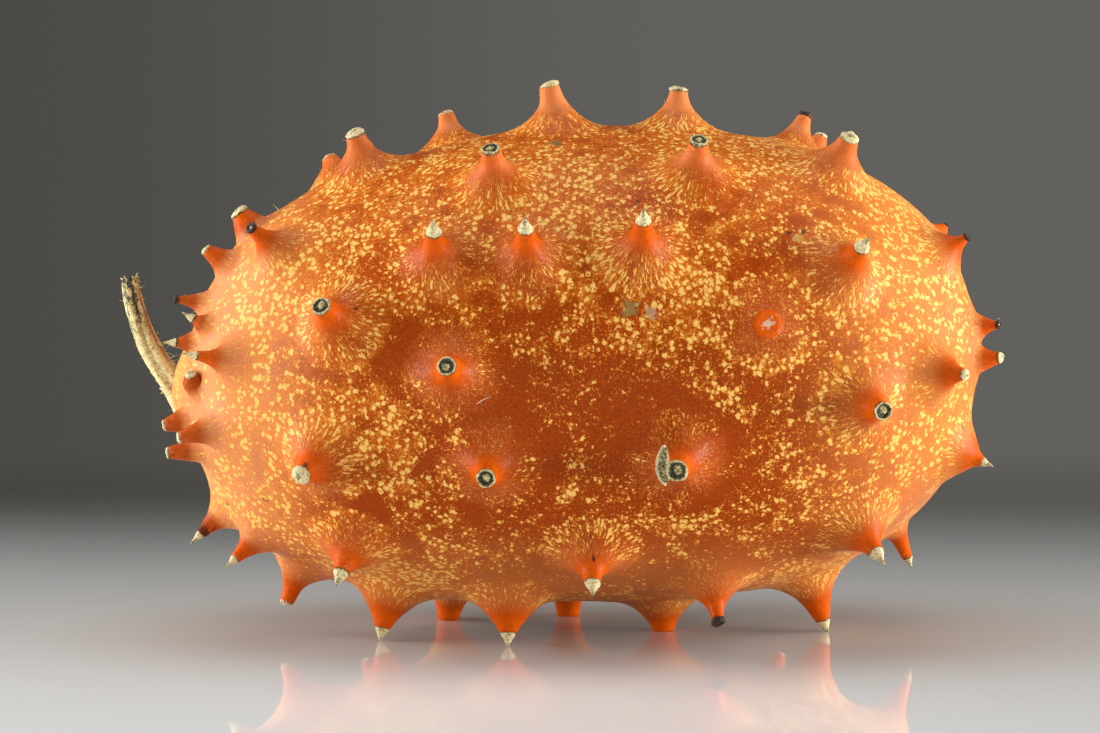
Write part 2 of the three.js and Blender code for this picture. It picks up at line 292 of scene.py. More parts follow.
def over_foot(horn, direction):
    """Where the line out through each direction meets the plane touching the foot."""
    x, y, z = np.moveaxis(direction, -1, 0)
    straight = np.stack([x * reach_towards(x), y * BODY_RADIUS, z * BODY_RADIUS])
    reach = np.ones(len(direction))
    for _ in range(8):
        point = bent(*(straight * reach))
        reach = reach * (horn.foot @ horn.normal) / (point @ horn.normal)
    beside = point - horn.foot
    return beside @ horn.along, beside @ horn.round_axis


def raise_horn(horn, direction):
    """Places on the horn for directions inside its foot, and their share of its height."""
    x, y = over_foot(horn, direction)
    angle = np.arctan2(y, x)
    share, radii, heights = horn_outline(horn)
    far = np.hypot(x, y) / horn.foot_radius
    radius = np.interp(far, share, radii)[:, None]
    height = np.interp(far, share, heights)[:, None]
    cosine = np.cos(angle)[:, None]
    sine = np.sin(angle)[:, None]
    beside = horn.foot + radius * (horn.along * cosine + horn.round_axis * sine)
    on_rind = swollen_rind_point(direction_under(beside)) + horn.axis * height
    on_shaft = horn.root + horn.axis * height
    on_shaft = on_shaft + radius * (horn.shaft_along * cosine + horn.shaft_round * sine)
    upright = smoothstep(*UPRIGHT, height / horn.shaft)
    return on_rind + (on_shaft - on_rind) * upright, np.minimum(height[:, 0] / horn.shaft, 1)


BALL_SUBDIVISIONS = 7
FINER_WITHIN = (0.0036, 0.0014)      # of a horn's middle line
GRIP_REACH = 0.0095                  # how far round a horn the speckles point at it
GRIP_FADE = 0.7                      # the share of its reach at which the grip is full
NEAR_A_HORN = GRIP_REACH * 1.5
UNEVENNESS = ((0.00022, 0.013), (0.00006, 0.0028))      # heights and sizes

bm = bmesh.new()
bmesh.ops.create_icosphere(bm, subdivisions=BALL_SUBDIVISIONS, radius=1)
feet = np.array([horn.foot for horn in horns])
for within in FINER_WITHIN:
    bm.edges.ensure_lookup_table()
    middles = np.array([edge.verts[0].co + edge.verts[1].co for edge in bm.edges])
    places = rind_point(unit(middles))
    nearest = np.min([np.linalg.norm(places - foot, axis=1) for foot in feet], axis=0)
    near_horns = [bm.edges[i] for i in np.flatnonzero(nearest < within)]
    bmesh.ops.subdivide_edges(bm, edges=near_horns, cuts=1, use_grid_fill=True)
bmesh.ops.triangulate(bm, faces=bm.faces)

direction = unit(np.array([vert.co for vert in bm.verts]))
rest = rind_point(direction)
place = swollen_rind_point(direction)
rise = np.zeros(len(rest))
far = np.full(len(rest), 1.0)
polar = np.tile((0, 0, NEAR_A_HORN), (len(rest), 1))
grip = np.zeros(len(rest))
for horn in horns:
    close = np.flatnonzero(np.linalg.norm(rest - horn.foot, axis=1) < NEAR_A_HORN)
    x, y = over_foot(horn, direction[close])
    distance = np.hypot(x, y)
    own = distance < far[close]
    close, x, y, distance = close[own], x[own], y[own], distance[own]
    far[close] = distance
    spread = FOOT_RADIUS / np.maximum(distance, 1e-6)
    polar[close] = np.stack([x * spread, y * spread, distance], -1)
    reach = min(GRIP_REACH, max(horn.gap / 2, SMALLEST_FOOT), 2 * horn.length)
    grip[close] = smoothstep(1, GRIP_FADE, distance / reach)
    inside = distance < horn.foot_radius
    place[close[inside]], rise[close[inside]] = raise_horn(horn, direction[close[inside]])

widest = np.array(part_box("fruit")[0]) + BOX_CORNER_TO_WIDEST
for vert, spot in zip(bm.verts, place + widest):
    vert.co = spot
bm.normal_update()
for vert in bm.verts:
    swell = sum(height * noise.noise(vert.co / size) for height, size in UNEVENNESS)
    vert.co += vert.normal * swell
    vert.co.z = max(vert.co.z, 0)


def make_piece(bm, name, material, smooth=True):
    """Makes a finished bmesh an object of one material, with its place in its mesh."""
    mesh = bpy.data.meshes.new(name)
    bm.to_mesh(mesh)
    bm.free()
    if smooth:
        mesh.shade_smooth()
    mesh.materials.append(material)
    made = bpy.data.objects.new(name, mesh)
    bpy.context.scene.collection.objects.link(made)
    return made


def linear(colour):
    """An sRGB hex colour as a linear RGBA value."""
    parts = [int(colour[i:i + 2], 16) / 255 for i in (1, 3, 5)]
    return [c / 12.92 if c <= 0.04045 else ((c + 0.055) / 1.055) ** 2.4 for c in parts] + [1]


def add(tree, kind, inputs=(), give=None, **settings):
    """Adds a node with its settings and its inputs, by name or in order, and returns its
    first output or the one to give."""
    made = tree.nodes.new("ShaderNode" + kind)
    for name, value in settings.items():
        setattr(made, name, value)
    if not isinstance(inputs, dict):
        inputs = dict(enumerate(inputs))
    for key, value in inputs.items():
        named = [socket for socket in made.inputs if socket.name == key and socket.enabled]
        socket = made.inputs[key] if isinstance(key, int) else named[0]
        if isinstance(value, bpy.types.NodeSocket):
            tree.links.new(value, socket)
        else:
            socket.default_value = value
    return next((out for out in made.outputs if out.enabled and give in (None, out.name)), None)


def new_material(name):
    made = bpy.data.materials.new(name)
    made.use_nodes = True
    made.node_tree.nodes.clear()
    return made


# Real sizes, in metres. The grain and the pits are finer on the fruit, and are drawn this
# coarse so that they show.
SPOT_SPACING = 0.0008
DOT_SPACING = 0.0004
STREAK_SPACING = 0.0005      # across a streak, at the rim of a full-sized foot
STREAK_LENGTHENING = 0.7
DUST_SPACING = 0.0003
LARGEST_SPECKLE = 0.52       # its radius, as a share of the spacing
RAGGED_SIZE = 0.0005         # of the speckles' uneven edges, and how far those go
RAGGED_SPOTS = 0.00095
RAGGED_STREAKS = 0.000665
BAND_STRETCH = (0.5, 1, 1)
CLEAR_RING = (0.0066, 0.0078, 0.009, 0.0104)     # how far from a horn it starts and ends
# Where the rind changes along the fruit, and where its underside is lightened as painted
# bounce light from the floor, and how fully there.
BLOSSOM_END = (0.024, 0.05, 0, 1)
STALK_END = (-0.028, -0.05, 0, 1)
UNDERSIDE_PAINTED_BOUNCE = (-0.018, -0.03, 0, 0.8)
ROUND_THE_STALK = (-0.034, -0.052)

# Cloudy patterns of growth: the size of each in metres, and how many finer layers it has.
PATTERNS = {
    "bands": (0.013, 2),           # more and fewer speckles, in bands along the fruit
    "clusters": (0.0026, 1),       # larger and smaller speckles
    "patches": (0.02, 1),          # redder rind
    "ring_gaps": (0.011, 1),       # where the clear ring round a horn is broken
    "streak_gaps": (0.0015, 1),    # where streaks break up into speckles
    "haze_gaps": (0.0045, 1),
    "mark_edges": (0.0006, 3),
    "grain": (0.00026, 1),
    "pits": (0.00042, 2),
}

# The side that ripened in the shade, low at the front, has fewer speckles and darker rind; the
# darkening is partly the rind's own colour and partly painted shade, where the light falls off
# at the lower front middle. Its middle and how far it spreads each way.
SPARSE_AND_PAINTED_SHADE_SIDE = (0.009, -0.034, -0.012)
SPARSE_AND_PAINTED_SHADE_SPREAD = (0.045, 0.05, 0.029)

# Orange and red-brown pigments under the wax, and cream cork in the speckles. The deep rind
# also lays painted shade low on the front, the end rind painted bounce light on the underside,
# and the dust colour painted light on the top horns' shafts.
DEEP_RIND_AND_PAINTED_SHADE = "#9a3b01"
LIGHT_RIND = "#c05a10"
RED_PATCH = "#a43a02"
END_RIND_AND_PAINTED_BOUNCE = "#e08c4c"
SPECKLE_EDGE = "#d8882e"
SPECKLE = "#f1c066"
HAZE = "#cf6a2a"
DUST_AND_PAINTED_TOP_LIGHT = "#eaa86a"
PALE_END = "#eba57e"
SHAFT = "#d05604"
SHAFT_ROOT = "#b84a04"
STALK_END_SHAFT = "#a04a1a"    # the horns round the stalk ripened darker

# Scars and specks: degrees along and round, as for horns, their size in millimetres
# across, and their colour.
RIND_MARKS = (
    (-3, 70.5, 2.2, "#6f6a3c"), (7, 17, 2.6, "#8c7a46"), (10, 16.5, 2.2, "#b58f70"),
    (29, 38.5, 1.1, "#3c2a1c"), (31, 39.5, 0.9, "#3c2a1c"), (30, 37, 1.6, "#c9a25e"),
    (-37, 343.5, 1.2, "#4a3020"), (-58.5, 303, 0.7, "#1c1410"), (2.5, 320.5, 0.6, "#1c1410"),
    (62, 333, 0.7, "#2a1c12"), (12.5, 336, 0.5, "#1c1410"), (8.5, 45, 0.6, "#1c1410"),
    (-49, 320.5, 0.9, "#3a2818"), (-30, 20, 0.5, "#241812"), (20, 200, 1.8, "#7c7048"),
    (-15, 140, 0.8, "#241812"), (44, 230, 1.2, "#54442c"), (25.5, 13.9, 1.6, "#d3bfa4"),
    (-60, 287, 3.4, "#2e1610"),
)


# Settings that many nodes share.
SOFT = {"interpolation_type": "SMOOTHSTEP"}
PLUS = {"operation": "ADD"}
MINUS = {"operation": "SUBTRACT"}
TIMES = {"operation": "MULTIPLY"}
TIMES_PLUS = {"operation": "MULTIPLY_ADD"}
LARGER = {"operation": "MAXIMUM"}


def living_rind():
    """Waxy living rind: red-orange tissue seen through a clear wax skin, so it is
    semi-gloss with soft wide highlights, and creamy dots where the skin is corky."""
    made = new_material("waxy_living_rind")
    tree = made.node_tree
    at = add(tree, "Attribute", attribute_name="rest", give="Vector")
    round_horn = add(tree, "Attribute", attribute_name="polar", give="Vector")
    near_horn = add(tree, "Attribute", attribute_name="grip", give="Fac")
    up_horn = add(tree, "Attribute", attribute_name="rise", give="Fac")
    from_horn = add(tree, "SeparateXYZ", (round_horn,), give="Z")
    side = add(tree, "SeparateXYZ", (at,), give="X")
    height = side.node.outputs["Z"]

    lengthwise = add(tree, "VectorMath", (at, BAND_STRETCH), **TIMES)
    pattern = {}
    for name, (size, detail) in PATTERNS.items():
        where = lengthwise if name == "bands" else at
        inputs = {"Vector": where, "Scale": 1 / size, "Detail": detail}
        pattern[name] = add(tree, "TexNoise", inputs)

    # Where on the fruit: the sparse side low at the front, which also carries painted shade, the
    # ends with the underside, which carries painted bounce light, the stalk end, and the clear
    # ring round each horn.
    sparse_and_painted_shade = add(tree, "VectorMath", (at, SPARSE_AND_PAINTED_SHADE_SIDE), **MINUS)
    sparse_and_painted_shade = add(tree, "VectorMath", (sparse_and_painted_shade, SPARSE_AND_PAINTED_SHADE_SPREAD), operation="DIVIDE")
    sparse_and_painted_shade = add(tree, "VectorMath", (sparse_and_painted_shade,), give="Value", operation="LENGTH")
    sparse_and_painted_shade = add(tree, "MapRange", (sparse_and_painted_shade, 1.35, 0.3), **SOFT)
    # The underside's share is painted bounce light from the floor: paler rind and more speckles.
    ends = 0
    for limits in ((side, *BLOSSOM_END), (side, *STALK_END), (height, *UNDERSIDE_PAINTED_BOUNCE)):
        ends = add(tree, "Math", (ends, add(tree, "MapRange", limits, **SOFT)), **LARGER)
    at_stalk = add(tree, "MapRange", (side, *ROUND_THE_STALK), **SOFT)
    ring = 1
    for limits in (
        (from_horn, CLEAR_RING[0], CLEAR_RING[1]),
        (from_horn, CLEAR_RING[3], CLEAR_RING[2]),
        (pattern["ring_gaps"], 0.38, 0.54),
    ):
        ring = add(tree, "Math", (ring, add(tree, "MapRange", limits, **SOFT)), **TIMES)

    # How large the speckles are, as a share of their spacing: what each thing adds.
    size = -0.53
    for what, share in (
        (pattern["bands"], 1.1), (pattern["clusters"], 0.9), (sparse_and_painted_shade, -0.22), (ends, 0.14),
        (ring, -0.22),
    ):
        size = add(tree, "Math", (what, share, size), **TIMES_PLUS)
    smaller = add(tree, "MapRange", (from_horn, 0.0024, 0.0062, 0.3, 1), **SOFT)
    size = add(tree, "Math", (size, smaller), **TIMES)
    size = add(tree, "Math", (at_stalk, 0.13, size), **TIMES_PLUS)
    dot_size = add(tree, "Math", (size, 0.12), **PLUS)

    inputs = {"Vector": at, "Scale": 1 / RAGGED_SIZE, "Detail": 2}
    ragged = add(tree, "TexNoise", inputs, give="Color")
    ragged = add(tree, "VectorMath", (ragged, (0.5, 0.5, 0.5)), **MINUS)
    spots_at = add(tree, "VectorMath", (ragged, (RAGGED_SPOTS,) * 3, at), **TIMES_PLUS)
    stretch = (1, 1, STREAK_LENGTHENING)
    streaks_at = add(tree, "VectorMath", (round_horn, stretch), **TIMES)
    inputs = (ragged, (RAGGED_STREAKS,) * 3, streaks_at)
    streaks_at = add(tree, "VectorMath", inputs, **TIMES_PLUS)

    def speckles(where, spacing, grown, spread, smallest):
        """How far inside a speckle each place is: more than 0 inside, less outside."""
        inputs = {"Vector": where, "Scale": 1 / spacing}
        from_middle = add(tree, "TexVoronoi", inputs, give="Distance")
        own = add(tree, "SeparateColor", (from_middle.node.outputs["Color"],), give="Red")
        own = add(tree, "Math", (own, spread, smallest), **TIMES_PLUS)
        own = add(tree, "Math", (grown, own), **TIMES)
        own = add(tree, "Math", (own, LARGEST_SPECKLE), operation="MINIMUM")
        return add(tree, "Math", (own, from_middle), **MINUS)

    streaky = add(tree, "Math", (near_horn, 0.4), **MINUS)
    streaky = add(tree, "Math", (pattern["streak_gaps"], 0.8, streaky), **TIMES_PLUS)
    in_speckle = add(tree, "Mix", {
        "Factor": add(tree, "MapRange", (streaky, 0.3, 0.6), **SOFT),
        "A": speckles(spots_at, SPOT_SPACING, size, 1.2, 0.3),
        "B": speckles(streaks_at, STREAK_SPACING, size, 0.7, 0.6),
    })
    in_dot = speckles(spots_at, DOT_SPACING, dot_size, 1.2, 0.1)

    # Colours lie one over another: how each is laid, what it follows, and then the values
    # between which it fades in and how much of it shows at those.
    def layered(colour, layers):
        for blend, over, follows, *fade in layers:
            share = add(tree, "MapRange", (follows, *fade), **SOFT) if fade else follows
            inputs = {"Factor": share, "A": colour, "B": over}
            colour = add(tree, "Mix", inputs, data_type="RGBA", blend_type=blend)
        return colour

    # Deeper rind where the speckles are fewer, and painted shade low on the front middle.
    deep_and_painted_shade = add(tree, "Math", (sparse_and_painted_shade, 0.85), **PLUS)
    deep_and_painted_shade = add(tree, "Math", (size, -2.2, deep_and_painted_shade), **TIMES_PLUS)
    grain = add(tree, "CombineColor", (pattern["grain"],) * 3)
    haze = add(tree, "MapRange", (from_horn, 0.0078, 0.003), **SOFT)
    haze_gaps = add(tree, "MapRange", (pattern["haze_gaps"], 0.36, 0.58, 0.2, 1), **SOFT)
    haze = add(tree, "Math", (haze, haze_gaps), **TIMES)
    dusty = add(tree, "Math", (haze, 0.55, 0.05), **TIMES_PLUS)
    dusty = add(tree, "Math", (dusty, add(tree, "Math", (at_stalk, 0.75), **TIMES)), **LARGER)
    inputs = {"Vector": spots_at, "Scale": 1 / DUST_SPACING}
    dust = add(tree, "TexVoronoi", inputs, give="Distance")
    dust = add(tree, "MapRange", (dust, 0.4, 0.25), **SOFT)
    dust = add(tree, "Math", (dust, dusty), **TIMES)
    rind = layered(linear(LIGHT_RIND), [
        ("MIX", linear(DEEP_RIND_AND_PAINTED_SHADE), deep_and_painted_shade, -0.3, 1),
        ("MIX", linear(RED_PATCH), pattern["patches"], 0.54, 0.66, 0, 0.6),
        ("OVERLAY", grain, 0.6),
        # Paler rind at the ends, and painted bounce light on the underside.
        ("MIX", linear(END_RIND_AND_PAINTED_BOUNCE), add(tree, "Math", (ends, 0.55), **TIMES)),
        ("MIX", linear(HAZE), add(tree, "Math", (haze, 0.4), **TIMES)),
        ("MIX", linear(PALE_END), add(tree, "Math", (at_stalk, 0.32), **TIMES)),
        ("MIX", linear(DUST_AND_PAINTED_TOP_LIGHT), dust),
        ("MIX", linear(SPECKLE_EDGE), in_dot, -0.06, 0.12, 0, 0.8),
        ("MIX", linear(SPECKLE_EDGE), in_speckle, -0.07, 0.03, 0, 0.9),
        ("MIX", linear(SPECKLE), in_speckle, 0, 0.16),
    ])
    shaft = layered(linear(SHAFT_ROOT), [
        ("MIX", linear(SHAFT), up_horn, 0.1, 0.6),
        ("MIX", linear(STALK_END_SHAFT), side, -0.0445, -0.05, 0, 0.7),
        ("OVERLAY", grain, 0.5),
        # Shafts paler towards the top of the fruit: painted light where the top horns are lit most.
        ("MIX", linear(DUST_AND_PAINTED_TOP_LIGHT), height, 0.018, 0.034, 0, 0.4),
    ])
    layers = [("MIX", shaft, up_horn, 0.1, 0.42)]
    mark_edges = add(tree, "Math", (pattern["mark_edges"], 2.6, -0.3), **TIMES_PLUS)
    for towards_blossom, around, across, mark in RIND_MARKS:
        middle = tuple(rind_point(direction_of(towards_blossom, around)))
        away = add(tree, "VectorMath", (spots_at, middle), give="Value", operation="DISTANCE")
        away = add(tree, "Math", (away, mark_edges), **TIMES)
        radius = across / 2000
        layers.append(("MIX", linear(mark), away, radius, radius / 2, 0, 0.8))

    relief = {"Height": pattern["pits"], "Distance": 0.00003, "Strength": 0.7}
    skin = add(tree, "BsdfPrincipled", {
        "Base Color": layered(rind, layers),
        "Roughness": 0.38,
        "IOR": 1.45,
        "Specular IOR Level": 0.1,
        "Normal": add(tree, "Bump", relief),
        "Subsurface Weight": 0.05,
        "Subsurface Radius": (1, 0.35, 0.1),
        "Subsurface Scale": 0.002,
    })
    add(tree, "OutputMaterial", {"Surface": skin})
    return made


fruit_rind = make_piece(bm, "fruit_rind", living_rind())
# What the pattern follows: places on the plain oval, places round the nearest horn with the
# distance to it, how far the speckles point at it, and the share of the way up it.
for name, kind, values in (
    ("rest", "FLOAT_VECTOR", rest),
    ("polar", "FLOAT_VECTOR", polar),
    ("grip", "FLOAT", grip),
    ("rise", "FLOAT", rise),
):
    layer = fruit_rind.data.attributes.new(name, kind, "POINT")
    values = values.astype(np.float32).ravel()
    layer.data.foreach_set("vector" if kind == "FLOAT_VECTOR" else "value", values)
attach(fruit_rind, "root")
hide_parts("fruit")


# ---- The horn tips ---------------------------------------------------------------
# Each horn ends in dry, corky tissue, where its prickle withered or was knocked off: a
# healed ring round a plug, a blunt callus, a broken brown cup, a plain scar, or a
# prickle that is still there.

# Outlines turned round a horn's axis: radius, height and tone of each corner, in units
# of the shaft's own radius. Tone runs from pale cork, 0, to dead and nearly black, 1.
TIP_OUTLINES = {
    "spine": (
        (0, -0.55, 1), (0.9, -0.45, 1), (0.99, -0.12, 0.9), (1, 0.0, 0.6), (0.95, 0.1, 0.1),
        (0.8, 0.36, 0.05), (0.56, 0.7, 0.08), (0.36, 1.05, 0.2), (0.22, 1.4, 0.35),
        (0.1, 1.7, 0.45), (0, 1.8, 0.55),
    ),
    "ring": (
        (0, -0.5, 1), (0.84, -0.45, 0.8), (0.95, -0.12, 0.65), (1.0, 0.08, 0.45),
        (0.98, 0.22, 0.3), (0.88, 0.28, 0.15), (0.78, 0.22, 0.5), (0.7, 0.04, 0.9),
        (0.58, -0.06, 0.9), (0.47, 0, 0.75), (0.4, 0.12, 0.4), (0.25, 0.18, 0.3), (0, 0.16, 0.35),
    ),
    "cap": (
        (0, -0.55, 0.8), (0.9, -0.45, 0.8), (0.99, -0.14, 0.7), (1.04, 0.02, 0.3), (1, 0.2, 0.1),
        (0.82, 0.36, 0.05), (0.5, 0.46, 0.15), (0.2, 0.48, 0.4), (0, 0.44, 0.35),
    ),
    "cup": (
        (0, -0.5, 1), (0.9, -0.5, 0.9), (1.02, -0.15, 0.6), (1.2, 0.2, 0.9), (1.22, 0.7, 1),
        (0.95, 0.95, 1), (0.65, 0.6, 1), (0.4, 0.45, 0.5), (0.2, 0.55, 0), (0, 0.45, 0.3),
    ),
    "scar": (
        (0, -0.5, 0.7), (0.9, -0.35, 0.6), (0.99, -0.05, 0.3), (0.97, 0.12, 0.05),
        (0.84, 0.3, 0.15), (0.6, 0.42, 0.32), (0.3, 0.46, 0.3), (0, 0.46, 0.35),
    ),
}
TIP_OF_KIND = {
    "spined": "spine", "standing_spined": "spine", "cut": "ring", "capped": "cap", "dark": "cup",
    "bare": "scar", "stub": "cap", "standing_blunt": "scar",
}
TIP_NAMES = {
    "spine": "prickles", "ring": "healed_rings", "cap": "calluses", "cup": "broken_tips",
    "scar": "tip_scars",
}
TIP_ROUGHNESS = {"spine": 0.05, "ring": 0.12, "cap": 0.13, "cup": 0.22, "scar": 0.1}
TIP_TALLNESS = (0.75, 1.15)  # each tip's, times its outline's
TIP_SLANT = 0.2
SPINE_HEIGHT = 1.7           # the outline's, so that each prickle is its horn's own length
SLIM_SPINE_SHORTER = 0.25
PLUG_RADIUS = 0.7
PLUG_OFF_CENTRE = 0.13
TIP_STEPS = 22
SHORTEST_TIPPED = 0.002      # the wart has no dry tip
PEELED_HORN = (13.8, 342.4)
PEELED_RING_WIDER = 1.15

# Cork weathers pale and greenish, and withered skin dries red-brown, both with dark hollows.
CORK_TONES = ((0, "#dccb9c"), (0.3, "#a89a68"), (0.6, "#5f5a34"), (1, "#1e1d12"))
WITHERED_TONES = ((0, "#dcc7a0"), (0.3, "#9a6a42"), (0.6, "#54301a"), (1, "#1c120c"))
CRUMB_SPACING = 0.0003
BLUSH = "#86401a"            # a reddish side of the dried stalk


def turned(made, tone, outline, steps):
    """Turns an outline round Z into a closed shape, and returns its corners."""
    before = set(made.verts)
    chain = []
    for radius, height, shade in outline:
        corner = made.verts.new((radius, 0, height))
        corner[tone] = shade
        chain.append(corner)
    sides = [made.edges.new(pair) for pair in zip(chain, chain[1:])]
    bmesh.ops.spin(
        made, geom=chain + sides, cent=(0, 0, 0), axis=(0, 0, 1),
        angle=math.tau, steps=steps, use_merge=True,
    )
    bmesh.ops.remove_doubles(made, verts=[v for v in made.verts if v not in before], dist=0.001)
    return [v for v in made.verts if v not in before]


def dry_material(name, tones, bump):
    """Dry, dead plant tissue: matt, coloured by how withered each place is, with a
    crumbly surface."""
    made = new_material(name)
    tree = made.node_tree
    at = add(tree, "TexCoord", give="Object")
    crumbs = add(tree, "TexNoise", {"Vector": at, "Scale": 1 / CRUMB_SPACING, "Detail": 3})
    shade = add(tree, "Attribute", attribute_name="tone", give="Fac")
    lift = add(tree, "Math", (shade, 1.02), **MINUS)
    shade = add(tree, "Math", (crumbs, 2, lift), **TIMES_PLUS)
    colour = linear(tones[0][1])
    layers = [
        (add(tree, "MapRange", (shade, low, high)), linear(tone_colour))
        for (low, _), (high, tone_colour) in zip(tones, tones[1:])
    ]
    blush = add(tree, "Attribute", attribute_name="blush", give="Fac")
    for share, over in (*layers, (blush, linear(BLUSH))):
        inputs = {"Factor": share, "A": colour, "B": over}
        colour = add(tree, "Mix", inputs, data_type="RGBA")
    relief = add(tree, "Bump", {"Height": crumbs, "Distance": bump, "Strength": 0.8})
    dry = {"Base Color": colour, "Roughness": 0.7, "Normal": relief}
    add(tree, "OutputMaterial", {"Surface": add(tree, "BsdfPrincipled", dry)})
    return made


corky_tip = dry_material("corky_callus", CORK_TONES, 0.00008)
withered_tip = dry_material("withered_brown_tissue", WITHERED_TONES, 0.0001)

peeled_foot = rind_point(direction_of(*PEELED_HORN))
peeled = min(horns, key=lambda horn: np.linalg.norm(horn.foot - peeled_foot))
chance = random.Random(7)
noise.seed_set(7)
for tip_kind, outline in TIP_OUTLINES.items():
    bm = bmesh.new()
    tone = bm.verts.layers.float.new("tone")
    for horn in horns:
        if TIP_OF_KIND[horn.kind] != tip_kind or horn.length < SHORTEST_TIPPED:
            continue
        seed = chance.uniform(0, 100)
        turn = chance.uniform(0, math.tau)
        width = horn.end_radius * (PEELED_RING_WIDER if horn is peeled else 1)
        tallness = chance.uniform(*TIP_TALLNESS)
        if tip_kind == "spine":
            shorter = 1 - SLIM_SPINE_SHORTER * horn.slim
            tallness *= horn.tip_length * shorter / SPINE_HEIGHT / width
        slant = [chance.uniform(-TIP_SLANT, TIP_SLANT) for _ in range(2)]
        for corner in turned(bm, tone, outline, TIP_STEPS):
            where = corner.co
            if tip_kind == "ring" and math.hypot(where.x, where.y) < PLUG_RADIUS:
                where.x += PLUG_OFF_CENTRE * math.cos(turn)
                where.y += PLUG_OFF_CENTRE * math.sin(turn)
            if where.z > 0:
                where.z *= tallness
                lifted = min(1, where.z * 3)
                where.z += slant[0] * where.x * lifted + slant[1] * where.y * lifted
            rough = TIP_ROUGHNESS[tip_kind]
            where += rough * noise.noise_vector(where * 2.2 + Vector((seed, 0, 0)))
            where += rough * 0.4 * noise.noise_vector(where * 6 + Vector((0, seed, 0)))
            place = horn.root + horn.axis * horn.shaft + width * (
                horn.shaft_along * where.x + horn.shaft_round * where.y + horn.axis * where.z
            )
            corner.co = place + widest
            corner.co.z = max(corner.co.z, 0)
    bmesh.ops.recalc_face_normals(bm, faces=bm.faces)
    tissue = withered_tip if tip_kind in ("cup", "scar") else corky_tip
    tips = make_piece(bm, TIP_NAMES[tip_kind], tissue)
    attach(tips, "root")


# ---- The peeled curl -------------------------------------------------------------
# On the healed ring of one horn at the front, the dead skin has peeled away in a curl that
# still hangs from it, thin and dry, and paler along its edges.

# Its stations: how far along, round and out from the tip's middle, and half its width, in
# millimetres.
CURL = (
    (-1.35, 3.35, 0.7, 0.4), (-1.5, 2.9, 0.45, 0.72), (-1.7, 2.1, 0.15, 0.88),
    (-1.95, 1.2, -0.05, 0.92), (-2.0, 0.3, -0.15, 0.9), (-1.85, -0.6, -0.15, 0.8),
    (-1.3, -1.5, -0.1, 0.55),
)
CURL_MIDDLE = 0.8            # how far round from the tip's middle it bends about
CURL_LIP = 0.35
CURL_UNEVEN = 0.12
CURL_THICKNESS = 0.00018

bm = bmesh.new()
tone = bm.verts.layers.float.new("tone")
bmesh.ops.create_grid(bm, x_segments=36, y_segments=10, size=1)
for corner in bm.verts:
    station = (corner.co.x + 1) / 2 * (len(CURL) - 1)
    across = corner.co.y
    along, round_tip, out, half_width = [
        np.interp(station, range(len(CURL)), values) for values in zip(*CURL)
    ]
    reach = math.hypot(along, round_tip - CURL_MIDDLE)
    away = 1 + across * half_width / reach
    uneven = noise.noise(Vector((station * 1.5, across * 1.2, 4)))
    lip = CURL_LIP * across ** 2 + CURL_UNEVEN * uneven
    round_tip = CURL_MIDDLE + (round_tip - CURL_MIDDLE) * away
    beside = peeled.shaft_along * along * away + peeled.shaft_round * round_tip
    place = peeled.root + peeled.axis * peeled.shaft + (beside + peeled.axis * (out + lip)) / 1000
    corner.co = Vector(place + widest)
    corner[tone] = 0.52 - 0.5 * smoothstep(0.45, 0.85, abs(across))
bmesh.ops.solidify(bm, geom=bm.faces, thickness=CURL_THICKNESS)
bmesh.ops.recalc_face_normals(bm, faces=bm.faces)
peeled_curl = make_piece(bm, "peeled_curl", corky_tip)
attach(peeled_curl, "root")


# ---- The blossom scar ------------------------------------------------------------
# The flower withered off the far end and left a small puckered disc of dead brown
# tissue, grown into the rind.

SCAR_RADIUS = 0.0023
SCAR_STEPS = 40
SCAR_UNEVEN = ((0.16, 2), (0.07, 7))     # heights, and how many bumps to its radius
SCAR_OUTLINE = (
    (0, -0.4, 0.9), (0.8, -0.3, 0.9), (1, -0.02, 0.7), (0.94, 0.1, 0.5), (0.74, 0.14, 0.85),
    (0.5, 0.06, 1), (0.25, 0.12, 0.6), (0, 0.16, 0.4),
)

far_end = direction_of(90, 0)
bm = bmesh.new()
tone = bm.verts.layers.float.new("tone")
scar_turn = Vector(rind_normal(far_end)).to_track_quat("Z", "Y")
scar_middle = Vector(swollen_rind_point(far_end) + widest)
for corner in turned(bm, tone, SCAR_OUTLINE, SCAR_STEPS):
    where = corner.co.copy()
    for uneven, bumps in SCAR_UNEVEN:
        where += uneven * noise.noise_vector(corner.co * bumps)
    corner.co = scar_turn @ (where * SCAR_RADIUS) + scar_middle
bmesh.ops.recalc_face_normals(bm, faces=bm.faces)
blossom_scar = make_piece(bm, "blossom_scar", withered_tip)
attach(blossom_scar, "root")


# ---- The rind's hairs ------------------------------------------------------------
# A few stiff, dead hairs of the young fruit are still on the ripe rind, mostly on the
# feet of the horns, with a longer white one on the front.

HAIRS_PER_HORN = 5
HAIR_LENGTH = (0.0003, 0.0009)
HAIR_RADIUS = 0.000028
HAIR_PLACE = (0.15, 0.9)     # from a horn's middle line to the rim of its foot
HAIR_BOW = 0.2
BRISTLE_CUTS = 4
